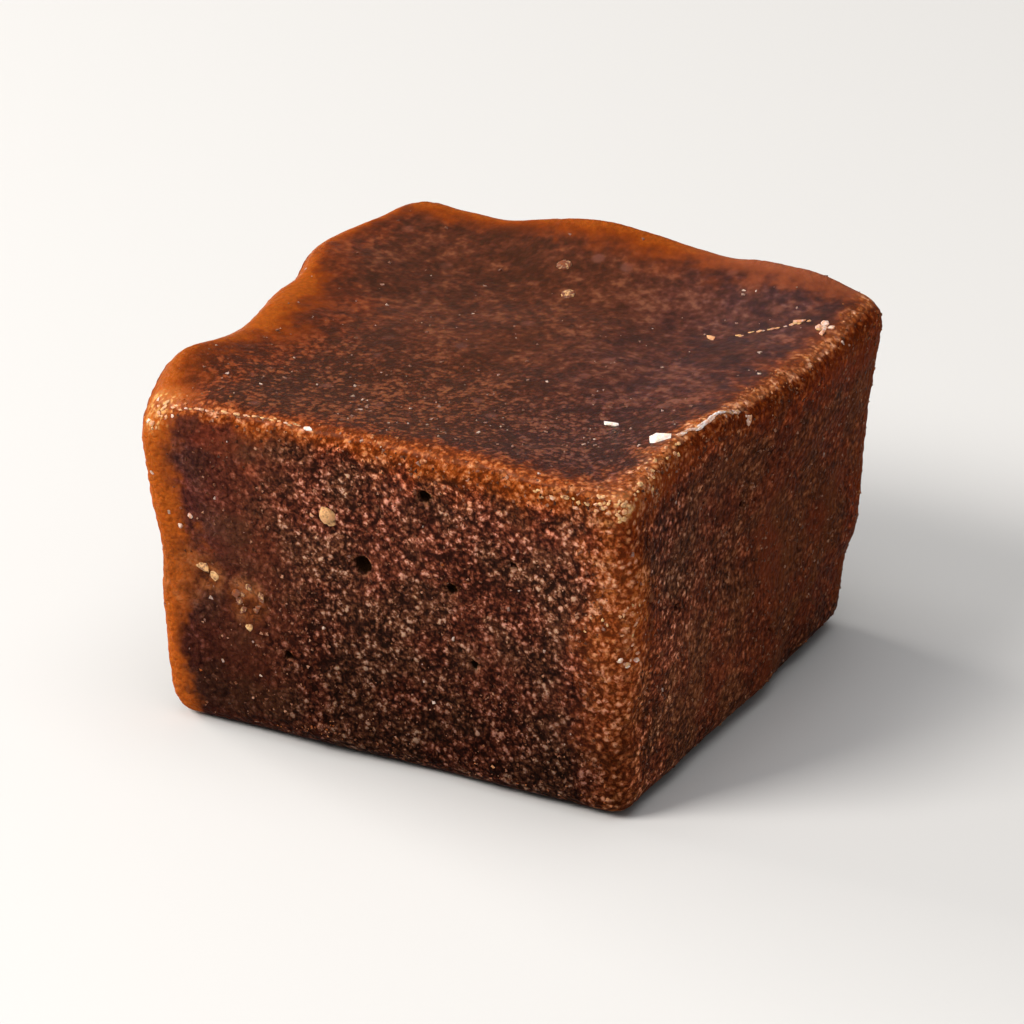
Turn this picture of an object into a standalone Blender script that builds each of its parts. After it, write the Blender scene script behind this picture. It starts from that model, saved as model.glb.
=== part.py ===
"""A small block of jaggery: one solid piece of cast, unrefined brown sugar.

The block was poured into a shallow mould and set there, so it is a squat square
prism, a little wider at its open top than at its foot. The top has sagged into a
shallow dish inside a thin raised rim, the foot is rounded where the mould was, and
no edge is quite straight. It rests on its flat underside, and it has no other part.

The origin is the middle of the underside, +Z is up. Sizes are in metres.
"""

import math

import bmesh
import bpy
from mathutils import Vector, noise

MM = 0.001

# The block, before its edges are rounded.
WIDTH = 28.3 * MM
DEPTH = 27.8 * MM
HEIGHT = 18.7 * MM

# How far each side leans in between the top and the foot.
LEAN_LEFT = 0.85 * MM
LEAN_RIGHT = 0.45 * MM
LEAN_FRONT = 0.75 * MM
LEAN_BACK = 0.60 * MM

# How far the foot is turned out of square with the top, at its edges.
FOOT_SKEW = 0.35 * MM

# Grid lines across each direction, and how much closer they lie near the edges.
LINES_X = 35
LINES_Y = 35
LINES_Z = 27
GRADING = 0.45

# Radius of each group of edges.
RADIUS_TOP_FRONT = 0.75 * MM
RADIUS_TOP_RIGHT = 0.75 * MM
RADIUS_TOP_BACK = 1.3 * MM
RADIUS_TOP_LEFT = 1.9 * MM
RADIUS_FOOT = 1.7 * MM
RADIUS_UPRIGHT = 1.25 * MM

# Distance over which one edge's radius gives way to the next at a corner.
RADIUS_BLEND = 2.0 * MM

# The top: a shallow dish, and the thin rim that stands round it.
DISH_DEPTH = 0.55 * MM
RIM_HEIGHT = 0.20 * MM
RIM_INSET = 0.80 * MM
RIM_WIDTH = 0.70 * MM
RIM_PATCH = 3.5 * MM

# Lifts of the top, each a soft hill: place along x and y as shares of the half
# sizes, reach along x and y in the same shares, and height.
LIFTS = (
    (-1.00, -1.00, 0.22, 0.22, -1.30 * MM),
    (1.00, -1.00, 0.20, 0.20, -0.10 * MM),
    (-0.45, -1.00, 0.50, 0.25, -0.15 * MM),
    (0.15, 1.00, 0.62, 0.30, 0.92 * MM),
    (-0.17, 1.00, 0.26, 0.25, 1.00 * MM),
    (-0.75, 1.00, 0.26, 0.25, 0.45 * MM),
    (0.72, 1.00, 0.27, 0.28, 1.00 * MM),
    (0.96, 1.00, 0.12, 0.14, -0.35 * MM),
    (-0.95, 0.95, 0.30, 0.30, 0.30 * MM),
    (-1.00, -0.66, 0.22, 0.20, 0.55 * MM),
    (-1.00, 0.45, 0.22, 0.24, 0.50 * MM),
    (1.00, -0.52, 0.20, 0.28, 0.55 * MM),
    (1.00, -0.27, 0.08, 0.09, 0.55 * MM),
    (1.00, 0.35, 0.20, 0.40, -0.35 * MM),
)

# Bulges of the left side, each a soft swell: place and reach along y as shares
# of the half depth, how far down it runs as a share of the height, and how far it
# stands out.
LEFT_BULGES = (
    (-0.66, 0.24, 0.90, 0.95 * MM),
    (-0.22, 0.20, 0.50, 0.35 * MM),
    (0.06, 0.14, 0.45, 0.75 * MM),
    (0.51, 0.29, 1.10, 1.80 * MM),
)

# Bulges of the back, right and front sides, measured the same way.
BACK_BULGES = (
    (0.10, 0.55, 1.20, 1.00 * MM),
    (0.90, 0.35, 1.20, 0.40 * MM),
    (-0.80, 0.25, 1.00, 0.45 * MM),
)
RIGHT_BULGES = (
    (0.70, 0.60, 1.20, 0.85 * MM),
    (-0.55, 0.30, 0.80, -0.25 * MM),
    (-0.27, 0.09, 0.20, 0.25 * MM),
)
FRONT_BULGES = (
    (-0.30, 0.50, 1.20, 0.15 * MM),
)

# The upright back-right edge steps in below this height.
STEP_HEIGHT = 5.4 * MM
STEP_DEPTH = 0.55 * MM
STEP_SOFTNESS = 0.5 * MM

# Chips knocked out of the sides, each a soft hollow: centre, radius and depth.
CHIPS = (
    (Vector((-12.3, -13.7, 9.2)) * MM, 2.3 * MM, 0.55 * MM),
    (Vector((-9.6, -13.7, 7.4)) * MM, 1.6 * MM, 0.30 * MM),
    (Vector((13.7, -12.0, 5.7)) * MM, 1.3 * MM, 0.30 * MM),
    (Vector((13.7, 5.8, 1.9)) * MM, 1.9 * MM, 0.35 * MM),
    (Vector((2.5, 13.7, 6.2)) * MM, 2.4 * MM, 0.40 * MM),
    (Vector((-13.7, 4.4, 5.1)) * MM, 2.2 * MM, 0.45 * MM),
)

# The uneven skin: size of a swell and how far it stands out, twice over.
SWELL_SIZE = 7.0 * MM
SWELL_HEIGHT = 0.27 * MM
CRAG_SIZE = 2.6 * MM
CRAG_HEIGHT = 0.14 * MM

# The underside is left flat: the skin grows uneven only above this height.
FLAT_FADE = 1.4 * MM

# How far the sides of the flat underside bow in between its corners.
UNDERSIDE_BOW = 0.03 * MM


def graded_positions(low, high, lines):
    """Places of the grid lines between two faces, closer together near both."""
    places = []
    for index in range(1, lines):
        share = 2.0 * index / lines - 1.0
        curved = math.sin(math.pi * share / 2.0)
        share = (1.0 - GRADING) * share + GRADING * curved
        places.append(low + (high - low) * (share + 1.0) / 2.0)
    return places


def hill(distance, reach):
    """A soft hill, one at its middle and fading to nothing past its reach."""
    return math.exp(-((distance / reach) ** 2))


def smooth_step(value, low, high):
    """Zero below low, one above high, and an S-shaped climb between."""
    share = min(max((value - low) / (high - low), 0.0), 1.0)
    return share * share * (3.0 - 2.0 * share)


def edge_radius(point):
    """Radius of the edge nearest to a point, blended smoothly between edges."""
    left, right = point.x + WIDTH / 2, WIDTH / 2 - point.x
    front, back = point.y + DEPTH / 2, DEPTH / 2 - point.y
    foot, top = point.z, HEIGHT - point.z
    edges = (
        (front, top, RADIUS_TOP_FRONT),
        (right, top, RADIUS_TOP_RIGHT),
        (back, top, RADIUS_TOP_BACK),
        (left, top, RADIUS_TOP_LEFT),
        (front, foot, RADIUS_FOOT),
        (right, foot, RADIUS_FOOT),
        (back, foot, RADIUS_FOOT),
        (left, foot, RADIUS_FOOT),
        (front, left, RADIUS_UPRIGHT),
        (front, right, RADIUS_UPRIGHT),
        (back, left, RADIUS_UPRIGHT),
        (back, right, RADIUS_UPRIGHT),
    )
    total = 0.0
    weighted = 0.0
    for across, along, radius in edges:
        weight = 1.0 / (across**2 + along**2 + RADIUS_BLEND**2) ** 2
        total += weight
        weighted += weight * radius
    return weighted / total


def rounded(point):
    """A point of the plain prism moved onto the prism with rounded edges.

    Gives the new point and the direction that faces out of the surface there.
    """
    radius = edge_radius(point)
    core = Vector((
        min(max(point.x, radius - WIDTH / 2), WIDTH / 2 - radius),
        min(max(point.y, radius - DEPTH / 2), DEPTH / 2 - radius),
        min(max(point.z, radius), HEIGHT - radius),
    ))
    outward = (point - core).normalized()
    return core + outward * radius, outward


def bulge(bulges, share, up):
    """How far a side stands out, at a share of its half length and of the height."""
    total = 0.0
    for place, reach, run, size in bulges:
        total += size * hill(share - place, reach) * smooth_step(up, 1.0 - run, 1.0)
    return total


def top_relief(across, along, edge_distance):
    """Height added to the top: the dish, its rim, and the lifts."""
    height = -DISH_DEPTH * smooth_step(edge_distance, RIM_INSET, 7.0 * MM)
    patch = 0.65 + 0.7 * noise.noise(Vector((across * WIDTH, along * DEPTH, 0.0)) / RIM_PATCH)
    height += patch * RIM_HEIGHT * hill(edge_distance - RIM_INSET, RIM_WIDTH)
    for x, y, reach_x, reach_y, size in LIFTS:
        height += size * hill((across - x) / reach_x, 1.0) * hill((along - y) / reach_y, 1.0)
    return height


def shaped(corner):
    """The finished place of one grid point of the plain prism."""
    point, outward = rounded(corner)
    across = corner.x / (WIDTH / 2)
    along = corner.y / (DEPTH / 2)
    up = point.z / HEIGHT
    edge_distance = min(WIDTH / 2 - abs(corner.x), DEPTH / 2 - abs(corner.y))

    # The uneven skin and the chips follow the outward direction.
    skin = SWELL_HEIGHT * noise.noise(point / SWELL_SIZE)
    skin += CRAG_HEIGHT * noise.noise(point / CRAG_SIZE + Vector((5.2, 1.7, 3.1)))
    for centre, radius, depth in CHIPS:
        skin -= depth * hill((point - centre).length, radius)
    skin *= smooth_step(point.z, 0.0, FLAT_FADE)
    moved = point + outward * skin

    # The top's relief spreads down the sides and is gone at the foot.
    moved.z += up**2 * top_relief(across, along, max(edge_distance, 0.0))

    # Each side swells by its own bulges, and leans in towards the foot.
    left = smooth_step(-across, 0.5, 1.0)
    right = smooth_step(across, 0.5, 1.0)
    front = smooth_step(-along, 0.5, 1.0)
    back = smooth_step(along, 0.5, 1.0)
    moved.x -= left * bulge(LEFT_BULGES, along, up)
    moved.x += right * bulge(RIGHT_BULGES, along, up)
    moved.y += back * bulge(BACK_BULGES, across, up)
    moved.y -= front * bulge(FRONT_BULGES, across, up)
    moved.x -= across * (1.0 - up) * (LEAN_LEFT if across < 0 else LEAN_RIGHT)
    moved.y -= along * (1.0 - up) * (LEAN_FRONT if along < 0 else LEAN_BACK)
    moved.y += across * (1.0 - up) * FOOT_SKEW

    # Below the step the back-right edge stands further in.
    step = 1.0 - smooth_step(point.z, STEP_HEIGHT - STEP_SOFTNESS, STEP_HEIGHT + STEP_SOFTNESS)
    near_edge = smooth_step(across, 0.35, 1.0) * smooth_step(along, 0.2, 1.0)
    inward = Vector((across, along, 0.0)).normalized()
    moved -= inward * STEP_DEPTH * step * near_edge
    return moved


def clear_file():
    """Removes every object that the file starts with."""
    for old in list(bpy.data.objects):
        bpy.data.objects.remove(old)


def plain_prism():
    """The plain prism as a mesh, cut along every grid line."""
    mesh = bmesh.new()
    bmesh.ops.create_cube(mesh, size=1.0)
    bmesh.ops.scale(mesh, vec=(WIDTH, DEPTH, HEIGHT), verts=mesh.verts)
    bmesh.ops.translate(mesh, vec=(0.0, 0.0, HEIGHT / 2), verts=mesh.verts)
    cuts = [((x, 0, 0), (1, 0, 0)) for x in graded_positions(-WIDTH / 2, WIDTH / 2, LINES_X)]
    cuts += [((0, y, 0), (0, 1, 0)) for y in graded_positions(-DEPTH / 2, DEPTH / 2, LINES_Y)]
    cuts += [((0, 0, z), (0, 0, 1)) for z in graded_positions(0.0, HEIGHT, LINES_Z)]
    for place, normal in cuts:
        bmesh.ops.bisect_plane(
            mesh,
            geom=mesh.verts[:] + mesh.edges[:] + mesh.faces[:],
            dist=1e-7,
            plane_co=place,
            plane_no=normal,
        )
    return mesh


def centre_over_origin(mesh):
    """Moves the block so that the middle of its outline stands on the origin."""
    for axis in (0, 1):
        places = [vertex.co[axis] for vertex in mesh.verts]
        middle = (min(places) + max(places)) / 2
        for vertex in mesh.verts:
            vertex.co[axis] -= middle


def straighten(border):
    """Draws the border of the underside from corner to corner in four clean lines.

    Each line bows in by a hair, so the block stands on its four corners.
    """
    count = len(border)
    corners = sorted(
        max(range(count), key=lambda i: x * border[i].co.x + y * border[i].co.y)
        for x, y in ((-1, -1), (1, -1), (1, 1), (-1, 1))
    )
    for start, end in zip(corners, corners[1:] + [corners[0] + count]):
        first = border[start].co
        line = border[end % count].co - first
        inward = (-first - (-first).project(line)).normalized()
        for index in range(start + 1, end):
            vertex = border[index % count]
            share = (vertex.co - first).dot(line) / line.length_squared
            bow = UNDERSIDE_BOW * 4.0 * share * (1.0 - share)
            vertex.co = first + line * share + inward * bow


def join_underside(mesh):
    """Makes the flat middle of the underside one face, fanned from its centre."""
    flat = [face for face in mesh.faces if max(v.co.z for v in face.verts) < 1e-7]
    joined = bmesh.ops.dissolve_faces(mesh, faces=flat)["region"]
    straighten(list(joined[0].verts))
    bmesh.ops.poke(mesh, faces=joined)


def block_material():
    """Dark brown sugar."""
    material = bpy.data.materials.new("brown_sugar")
    material.use_nodes = True
    shader = material.node_tree.nodes["Principled BSDF"]
    shader.inputs["Base Color"].default_value = (0.085, 0.024, 0.008, 1.0)
    shader.inputs["Roughness"].default_value = 0.5
    return material


def build_block(collection):
    """The block as one closed, smooth-shaded object."""
    mesh = plain_prism()
    for vertex in mesh.verts:
        vertex.co = shaped(vertex.co.copy())
    centre_over_origin(mesh)
    join_underside(mesh)
    bmesh.ops.recalc_face_normals(mesh, faces=mesh.faces)
    for face in mesh.faces:
        face.smooth = True
    data = bpy.data.meshes.new("block")
    mesh.to_mesh(data)
    mesh.free()
    block = bpy.data.objects.new("block", data)
    block.data.materials.append(block_material())
    collection.objects.link(block)
    return block


def main():
    clear_file()
    collection = bpy.data.collections.new("jaggery_block")
    bpy.context.scene.collection.children.link(collection)
    build_block(collection)


main()
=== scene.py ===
# %% [markdown]
# # A block of jaggery
#
# Jaggery is cane juice boiled down until it sets. This small block was poured into a
# shallow mould: its top cooled in the open, so it is smooth and slightly glossy, with
# a thin rim, and its sides took the grain of the coarse crystals. Where the block is
# thin, along its edges, light goes through and it glows amber.
#
# The block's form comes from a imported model. This script gives it its skin, its grain
# and its loose crystals, and lights it like the photograph.

import math

import bmesh
import bpy
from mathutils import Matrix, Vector


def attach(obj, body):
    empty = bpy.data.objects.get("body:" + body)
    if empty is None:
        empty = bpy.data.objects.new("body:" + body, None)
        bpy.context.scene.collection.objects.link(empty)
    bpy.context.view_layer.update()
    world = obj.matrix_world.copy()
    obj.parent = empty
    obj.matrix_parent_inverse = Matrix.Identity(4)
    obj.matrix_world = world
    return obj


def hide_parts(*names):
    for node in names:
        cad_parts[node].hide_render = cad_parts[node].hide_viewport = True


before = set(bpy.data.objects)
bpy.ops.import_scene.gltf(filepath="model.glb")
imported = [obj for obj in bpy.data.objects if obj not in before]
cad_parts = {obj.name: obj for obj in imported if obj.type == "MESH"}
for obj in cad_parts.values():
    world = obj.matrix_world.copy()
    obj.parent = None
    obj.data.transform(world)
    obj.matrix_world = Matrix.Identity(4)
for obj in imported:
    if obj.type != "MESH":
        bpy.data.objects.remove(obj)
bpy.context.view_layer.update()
MM = 0.001
TO_MM = 1000.0


# %% [markdown]
# ## The camera
#
# A camera is a place, a direction and a lens. The photograph looks down on a corner of
# the block from about a foot away, so both sides and the top show. A long lens at the
# same distance keeps the same perspective and fills the frame with the block.

# %% Place the camera
CAMERA_AZIMUTH = math.radians(28.4)
CAMERA_ELEVATION = math.radians(25.8)
CAMERA_DISTANCE = 299 * MM
CAMERA_TARGET = Vector((0.51, -0.35, 9.15)) * MM

toward_camera = Vector((
    math.sin(CAMERA_AZIMUTH) * math.cos(CAMERA_ELEVATION),
    -math.cos(CAMERA_AZIMUTH) * math.cos(CAMERA_ELEVATION),
    math.sin(CAMERA_ELEVATION),
))
camera = bpy.data.objects.new("camera", bpy.data.cameras.new("camera"))
bpy.context.scene.collection.objects.link(camera)
camera.location = CAMERA_TARGET + toward_camera * CAMERA_DISTANCE
camera.rotation_euler = (-toward_camera).to_track_quat("-Z", "Y").to_euler()
camera.data.lens = 200
camera.data.clip_start = 10 * MM
camera.data.clip_end = 10
bpy.context.scene.camera = camera
print("camera at", [round(c / MM) for c in camera.location], "mm")

# %% [markdown]
# ## The floor and the light
#
# Dark, glossy sugar is best shown on a plain pale floor under large soft lamps: a big
# lamp makes a broad, gentle sheen on the smooth top, and a small bright one makes the
# crystals glint. The main lamp stands at the front left, as the photograph's does. One
# overhead lights the top, one low at the left lights the rims, and a white world fills
# the shadows.

# %% Floor
floor_mesh = bpy.data.meshes.new("floor")
floor_cage = bmesh.new()
bmesh.ops.create_grid(floor_cage, x_segments=1, y_segments=1, size=1.5)
floor_cage.to_mesh(floor_mesh)
floor_cage.free()
floor = bpy.data.objects.new("floor", floor_mesh)
bpy.context.scene.collection.objects.link(floor)

pale = bpy.data.materials.new("pale_floor")
pale.use_nodes = True
pale_shader = pale.node_tree.nodes["Principled BSDF"]
pale_shader.inputs["Base Color"].default_value = (0.66, 0.655, 0.65, 1)
pale_shader.inputs["Roughness"].default_value = 0.75
pale_shader.inputs["Specular IOR Level"].default_value = 0.2
floor_mesh.materials.append(pale)
print("floor is", round(floor.dimensions.x, 1), "m wide")

# %% Lamps
def softbox(name, azimuth, elevation, distance, size, watts, colour):
    """A square area lamp that faces the block. Its place is two angles in degrees and
    a distance in metres."""
    lamp_data = bpy.data.lights.new(name, "AREA")
    lamp_data.size = size
    lamp_data.energy = watts
    lamp_data.color = colour
    lamp = bpy.data.objects.new(name, lamp_data)
    bpy.context.scene.collection.objects.link(lamp)
    turn, rise = math.radians(azimuth), math.radians(elevation)
    outward = Vector((
        math.sin(turn) * math.cos(rise),
        -math.cos(turn) * math.cos(rise),
        math.sin(rise),
    ))
    lamp.location = CAMERA_TARGET + outward * distance
    lamp.rotation_euler = (-outward).to_track_quat("-Z", "Y").to_euler()


softbox("key_lamp", azimuth=-36, elevation=44, distance=0.50, size=0.20, watts=2.5,
        colour=(1.0, 0.96, 0.91))
softbox("overhead_lamp", azimuth=60, elevation=84, distance=0.70, size=0.55, watts=2.2,
        colour=(1.0, 1.0, 1.0))
softbox("rim_lamp", azimuth=-96, elevation=20, distance=0.50, size=0.22, watts=1.7,
        colour=(1.0, 0.96, 0.90))

world = bpy.data.worlds.new("white_room")
bpy.context.scene.world = world
world.use_nodes = True
world.node_tree.nodes["Background"].inputs["Color"].default_value = (1.0, 1.0, 1.0, 1)
world.node_tree.nodes["Background"].inputs["Strength"].default_value = 0.20
bpy.context.scene.view_settings.view_transform = "Standard"

# %% [markdown]
# ## Helpers for node trees
#
# Geometry Nodes and materials are both trees of nodes joined by links. These few
# helpers add a node, feed a socket with a link or a number, and wrap the nodes that are
# used again and again, so that each tree reads like a recipe.

# %% Node helpers
def feed(tree, socket, source):
    """Links an output to a socket, or sets the socket to a plain value."""
    if isinstance(source, bpy.types.NodeSocket):
        tree.links.new(source, socket)
    else:
        socket.default_value = source


def add(tree, kind, inputs=None, **settings):
    """Adds a node with its settings, and feeds its inputs by name."""
    node = tree.nodes.new(kind)
    for name, value in settings.items():
        setattr(node, name, value)
    for name, source in (inputs or {}).items():
        feed(tree, node.inputs[name], source)
    return node


def calc(tree, operation, *sources):
    """A Math node's result."""
    node = tree.nodes.new("ShaderNodeMath")
    node.operation = operation
    for socket, source in zip(node.inputs, sources):
        feed(tree, socket, source)
    return node.outputs[0]


def chain(tree, operation, sources):
    """One Math operation over several numbers, from the first to the last."""
    total = sources[0]
    for source in sources[1:]:
        total = calc(tree, operation, total, source)
    return total


def times(tree, *sources):
    """Several numbers multiplied."""
    return chain(tree, "MULTIPLY", sources)


def plus(tree, *sources):
    """Several numbers added up."""
    return chain(tree, "ADD", sources)


def most(tree, *sources):
    """The largest of several numbers."""
    return chain(tree, "MAXIMUM", sources)


def less(tree, value, taken):
    """What is left of a number when another one is taken from it."""
    return calc(tree, "SUBTRACT", value, taken)


def weighted(tree, *pairs):
    """The sum of several numbers, each with its own weight."""
    return plus(tree, *[times(tree, value, weight) for value, weight in pairs])


def soft_step(tree, value, low, high, to_low=0.0, to_high=1.0):
    """An S-shaped climb from one value to another between two limits."""
    node = add(tree, "ShaderNodeMapRange", interpolation_type="SMOOTHSTEP", inputs={
        "Value": value, "From Min": low, "From Max": high, "To Min": to_low, "To Max": to_high})
    return node.outputs["Result"]


def split(tree, vector):
    """The X, Y and Z of a vector."""
    return add(tree, "ShaderNodeSeparateXYZ", inputs={"Vector": vector}).outputs


def vector_calc(tree, operation, first, second, out="Vector"):
    """A Vector Math node's result."""
    node = add(tree, "ShaderNodeVectorMath", operation=operation)
    feed(tree, node.inputs[0], first)
    feed(tree, node.inputs[1], second)
    return node.outputs[out]


def scaled(tree, vector, factor):
    """A vector times a number."""
    node = tree.nodes.new("ShaderNodeVectorMath")
    node.operation = "SCALE"
    feed(tree, node.inputs[0], vector)
    feed(tree, node.inputs["Scale"], factor)
    return node.outputs[0]


def noise(tree, place, per_mm, detail=3.0, roughness=0.55, out="Fac"):
    """Cloudy noise, sized by how many clouds there are in a millimetre."""
    node = add(tree, "ShaderNodeTexNoise", inputs={
        "Vector": place, "Scale": per_mm, "Detail": detail, "Roughness": roughness})
    return node.outputs[out]


def cells(tree, place, per_mm):
    """A pattern of cells: how far each point is from its cell's middle, and a random
    number for each cell."""
    node = add(tree, "ShaderNodeTexVoronoi", inputs={"Vector": place, "Scale": per_mm})
    return node.outputs["Distance"], split(tree, node.outputs["Color"])["X"]


print("helpers ready")

# %% [markdown]
# ## The skin's mesh
#
# The solid is a coarse cage. Its triangles are loose, so a copy has its doubled points
# merged and its triangles paired into squares, which a Subdivision Surface rounds
# smoothly. The copy is then fine enough to carry grains of half a millimetre.

# %% Copy the solid as a cage
cage_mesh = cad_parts["block"].data.copy()
cage_mesh.name = "sugar_skin"
cage_edit = bmesh.new()
cage_edit.from_mesh(cage_mesh)
bmesh.ops.remove_doubles(cage_edit, verts=cage_edit.verts, dist=1e-6)
bmesh.ops.join_triangles(
    cage_edit, faces=cage_edit.faces, angle_face_threshold=math.radians(50),
    angle_shape_threshold=math.radians(60))
cage_edit.to_mesh(cage_mesh)
squares = sum(len(face.verts) == 4 for face in cage_edit.faces)
print("cage has", len(cage_edit.faces), "faces,", squares, "of them squares")
cage_edit.free()
cage_mesh.materials.clear()
skin = bpy.data.objects.new("sugar_skin", cage_mesh)
bpy.context.scene.collection.objects.link(skin)

# %% [markdown]
# ## The skin's relief
#
# The relief follows rules, so a Geometry Nodes tree makes it. Noise swells the skin a
# little, a cell pattern raises the grains, and a sparse second pattern sinks the pores
# that bubbles left. The open top gets hardly any of it. The tree also stores, for the
# material, where the skin is a side, an edge or a pore.

# %% Start the relief tree
relief = bpy.data.node_groups.new("skin_relief", "GeometryNodeTree")
relief.interface.new_socket(name="Geometry", in_out="INPUT", socket_type="NodeSocketGeometry")
RELIEF_SIZES = {
    "Swell height": 0.08 * MM,
    "Grain height": 0.11 * MM,
    "Pore depth": 0.45 * MM,
    "Top share": 0.12,
}
relief_ids = {}
for name, size in RELIEF_SIZES.items():
    socket = relief.interface.new_socket(name=name, in_out="INPUT", socket_type="NodeSocketFloat")
    socket.default_value = size
    relief_ids[name] = socket.identifier
relief.interface.new_socket(name="Geometry", in_out="OUTPUT", socket_type="NodeSocketGeometry")
given = relief.nodes.new("NodeGroupInput").outputs
result = relief.nodes.new("NodeGroupOutput")

fine = add(relief, "GeometryNodeSubdivisionSurface", inputs={"Mesh": given["Geometry"], "Level": 2})
place = relief.nodes.new("GeometryNodeInputPosition").outputs[0]
normal = relief.nodes.new("GeometryNodeInputNormal").outputs[0]
place_mm = scaled(relief, place, TO_MM)


def store(tree, mesh, name, value):
    """Stores a value on the points of a mesh under a name."""
    node = add(tree, "GeometryNodeStoreNamedAttribute", data_type="FLOAT", domain="POINT", inputs={
        "Geometry": mesh, "Name": name, "Value": value})
    return node.outputs["Geometry"]


def stored(tree, name):
    """Reads a stored value back."""
    node = add(tree, "GeometryNodeInputNamedAttribute", data_type="FLOAT", inputs={"Name": name})
    return node.outputs["Attribute"]


print("relief tree takes", list(RELIEF_SIZES))

# %% [markdown]
# A side is where the skin looks sideways. An edge is found by blurring the positions:
# where the blurred skin lies deep below the true one, the block is sharp. To tell one
# edge from another, the tree also measures how far each point is from the faces that
# look up, and from those that look to each side.

# %% Find the sides and the edges
BLUR_ROUNDS = 45
FACING_LIMIT = 0.76
FACINGS = {
    "top": (0, 0, 1), "left": (-1, 0, 0), "right": (1, 0, 0), "front": (0, -1, 0), "back": (0, 1, 0)}

side_share = soft_step(relief, split(relief, normal)["Z"], 0.55, 0.85, 1.0, 0.0)
blurred = add(relief, "GeometryNodeBlurAttribute", data_type="FLOAT_VECTOR", inputs={
    "Value": place, "Iterations": BLUR_ROUNDS})
lost = vector_calc(relief, "SUBTRACT", place, blurred.outputs[0])
sharpness = vector_calc(relief, "DOT_PRODUCT", lost, normal, out="Value")
edge_share = soft_step(relief, sharpness, 0.02 * MM, 0.22 * MM)

distances = {}
for name, axis in FACINGS.items():
    facing = vector_calc(relief, "DOT_PRODUCT", normal, axis, out="Value")
    faces = add(relief, "GeometryNodeSeparateGeometry", domain="FACE", inputs={
        "Geometry": given["Geometry"],
        "Selection": calc(relief, "GREATER_THAN", facing, FACING_LIMIT)})
    nearest = add(relief, "GeometryNodeProximity", target_element="FACES", inputs={
        "Geometry": faces.outputs["Selection"], "Sample Position": place})
    distances["to_" + name] = times(relief, nearest.outputs["Distance"], TO_MM)
print("distances:", list(distances))

# %% [markdown]
# Bubbles in the syrup left small pores. Those of the front stand where the photograph
# shows them, each with its place and its radius in millimetres. On the other sides they
# are a few of the cells of a wide pattern, each with a round hollow.

# %% Sink the pores
FRONT_PORES = (
    ((-0.70, -14.0, 11.7), 0.60),
    ((3.07, -14.3, 16.5), 0.40),
    ((4.35, -14.0, 11.5), 0.34),
    ((5.48, -13.7, 7.35), 0.28),
    ((-5.2, -13.9, 5.4), 0.26),
    ((0.4, -14.1, 15.2), 0.24),
    ((7.9, -14.1, 13.6), 0.24),
)
pore_far, pore_pick = cells(relief, place_mm, 0.62)
pore_reach = soft_step(relief, pore_pick, 0.62, 1.0, 0.0, 0.17)
pore_share = soft_step(relief, less(relief, pore_far, pore_reach), -0.10, 0.03, 1.0, 0.0)
behind_front = soft_step(relief, split(relief, place_mm)["Y"], -12.8, -11.5)
pore_share = times(relief, pore_share, soft_step(relief, pore_pick, 0.60, 0.66), behind_front)
for centre, radius in FRONT_PORES:
    off_centre = vector_calc(relief, "DISTANCE", place_mm, centre, out="Value")
    hollow = soft_step(relief, off_centre, 0.45 * radius, radius + 0.06, 1.0, 0.0)
    pore_share = most(relief, pore_share, hollow)
pore_share = times(relief, pore_share, side_share)
print("pores placed by hand:", len(FRONT_PORES))

# %% [markdown]
# The grains are rounded cells of about half a millimetre, uneven in height. The values
# are stored before the skin moves, so that the material and the loose crystals can read
# them. Then the heights are added up, with none on the flat underside.

# %% Raise the grains
warp = scaled(relief, noise(relief, place_mm, 1.1, out="Color"), 0.5)
warped = vector_calc(relief, "ADD", place_mm, warp)
grain_rise = times(
    relief, less(relief, 0.55, cells(relief, warped, 2.2)[0]),
    soft_step(relief, noise(relief, place_mm, 0.5), 0.3, 0.7, 0.6, 1.2))

to_store = {"side": side_share, "edge": edge_share, "pore": pore_share, **distances, "grain": grain_rise}
mesh = fine.outputs["Mesh"]
for name, value in to_store.items():
    mesh = store(relief, mesh, name, value)

share = most(relief, stored(relief, "side"), times(relief, stored(relief, "edge"), 0.7), given["Top share"])
height = times(relief, stored(relief, "grain"), given["Grain height"], share)
swell = less(relief, noise(relief, place_mm, 0.45, detail=4.0), 0.5)
height = plus(relief, height, times(relief, swell, given["Swell height"]))
height = less(relief, height, times(relief, stored(relief, "pore"), given["Pore depth"]))
height = times(relief, height, soft_step(relief, split(relief, place)["Z"], 0.0, 0.9 * MM))
moved = add(relief, "GeometryNodeSetPosition", inputs={
    "Geometry": mesh, "Offset": scaled(relief, normal, height)})
smooth = add(relief, "GeometryNodeSetShadeSmooth", inputs={"Geometry": moved.outputs[0]})
print("relief tree has", len(relief.nodes), "nodes")

# %% [markdown]
# ## The sugar's colour
#
# Cast sugar is dark because it is dense: light sinks in and little comes back. Three
# things break the brown. The top is a smooth maroon with paler clouds. The sides are
# a mass of crystals, each a slightly different brown, from near black to gold. And the
# edges glow amber, which is painted by the stored distances and helped by subsurface
# scattering, so it stays in any light.

# %% Cast sugar material
sugar = bpy.data.materials.new("cast_sugar")
sugar.use_nodes = True
tree = sugar.node_tree
shader = tree.nodes["Principled BSDF"]


def attribute(tree, name):
    """A stored value, read in a material."""
    return add(tree, "ShaderNodeAttribute", attribute_name=name).outputs["Fac"]


def ramp(tree, value, stops):
    """A colour that changes with a value, through the given stops."""
    node = tree.nodes.new("ShaderNodeValToRGB")
    feed(tree, node.inputs["Fac"], value)
    elements = node.color_ramp.elements
    while len(elements) < len(stops):
        elements.new(0.5)
    for element, (position, colour) in zip(elements, stops):
        element.position = position
        element.color = (*colour, 1.0)
    return node.outputs["Color"]


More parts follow.
